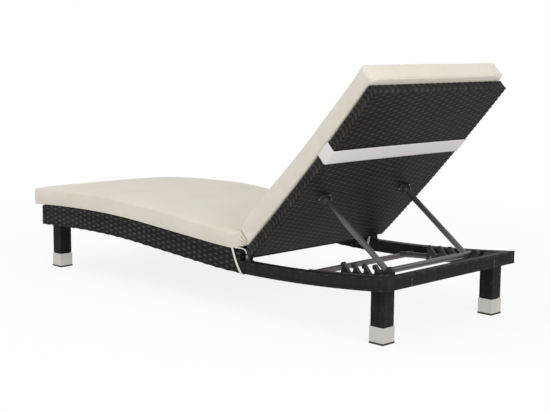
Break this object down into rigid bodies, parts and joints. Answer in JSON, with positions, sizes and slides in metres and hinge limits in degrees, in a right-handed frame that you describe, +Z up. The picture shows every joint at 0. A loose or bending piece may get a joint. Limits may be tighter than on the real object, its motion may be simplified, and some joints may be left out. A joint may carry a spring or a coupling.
{
  "type": "spa relaxation lounger",
  "caption": "Woven sun lounger with a waved frame, a hinged backrest held by a prop stay in toothed racks, and a folded pad.",
  "frame": {"origin": "on the floor, at the middle of the footprint box", "axes": "+X from the foot end to the head end, +Y towards the user's right when lying down, +Z up"},
  "size_m": [2.05, 0.7676, 0.9465],
  "materials": {
    "woven_strand": "satin synthetic strand, woven",
    "frame_metal": "satin powder coat",
    "dark_metal": "satin powder coat",
    "sleeve_aluminium": "brushed and clear anodised",
    "black_plastic": "moulded, matt",
    "fixing_steel": "zinc plated",
    "pad_fabric": "plain weave over foam",
    "strap_elastic": "ribbed elastic webbing",
    "tie_ribbon": "flat woven tape"
  },
  "bodies": {
    "frame": {"foot_band": "woven_strand", "foot_tubes": "frame_metal", "head_rail": "woven_strand", "head_side_rail_left": "woven_strand", "head_side_rail_right": "woven_strand", "head_tube": "frame_metal", "hinge_bracket_left": "dark_metal", "hinge_bracket_right": "dark_metal", "hinge_pins": "fixing_steel", "hinge_washers": "fixing_steel", "inner_cross_tube": "frame_metal", "leg_bolts": "fixing_steel", "leg_glides": "black_plastic", "leg_sleeves": "sleeve_aluminium", "leg_tubes": "frame_metal", "leg_wrap_foot_left": "woven_strand", "leg_wrap_foot_right": "woven_strand", "leg_wrap_head_left": "woven_strand", "leg_wrap_head_right": "woven_strand", "lower_side_tube_left": "frame_metal", "lower_side_tube_right": "frame_metal", "rack_bar_bolts": "fixing_steel", "rack_bar_left": "frame_metal", "rack_bar_right": "frame_metal", "rack_left": "dark_metal", "rack_right": "dark_metal", "rack_screws": "fixing_steel", "seat_cross_tubes": "frame_metal", "seat_cushion": "pad_fabric", "seat_deck": "woven_strand", "seat_end_rail": "woven_strand", "seat_end_tube": "frame_metal", "seat_side_band_left": "woven_strand", "seat_side_band_right": "woven_strand", "tie_left": "tie_ribbon", "tie_right": "tie_ribbon", "upper_side_tube_left": "frame_metal", "upper_side_tube_right": "frame_metal"},
    "backrest": {"back_bottom_wrap": "woven_strand", "back_cross_bar": "frame_metal", "back_cushion": "pad_fabric", "back_end_tubes": "frame_metal", "back_panel": "woven_strand", "back_side_tube_left": "frame_metal", "back_side_tube_right": "frame_metal", "back_side_wrap_left": "woven_strand", "back_side_wrap_right": "woven_strand", "back_strap": "strap_elastic", "back_top_wrap": "woven_strand", "bracket_screws": "fixing_steel", "front_panel": "woven_strand", "hinge_lugs": "dark_metal", "stay_brackets": "dark_metal", "stay_pins": "fixing_steel"},
    "stay": {"stay_cross_tube": "frame_metal", "stay_end_plugs": "black_plastic", "stay_leg_left": "frame_metal", "stay_leg_right": "frame_metal"}
  },
  "joints": [
    {"name": "backrest_hinge", "type": "hinge", "parent": "frame", "child": "backrest", "pos_m": [0.35, 0, 0.22208], "axis": [0, -1, 0], "range_deg": [0, 18]},
    {"name": "stay_pivot", "type": "hinge", "parent": "backrest", "child": "stay", "pos_m": [0.61453, 0, 0.44935], "axis": [0, -1, 0], "range_deg": [-16, 0]}
  ],
  "couplings": [
    {"joint": "stay_pivot", "follows": "backrest_hinge", "ratio": -0.875}
  ]
}
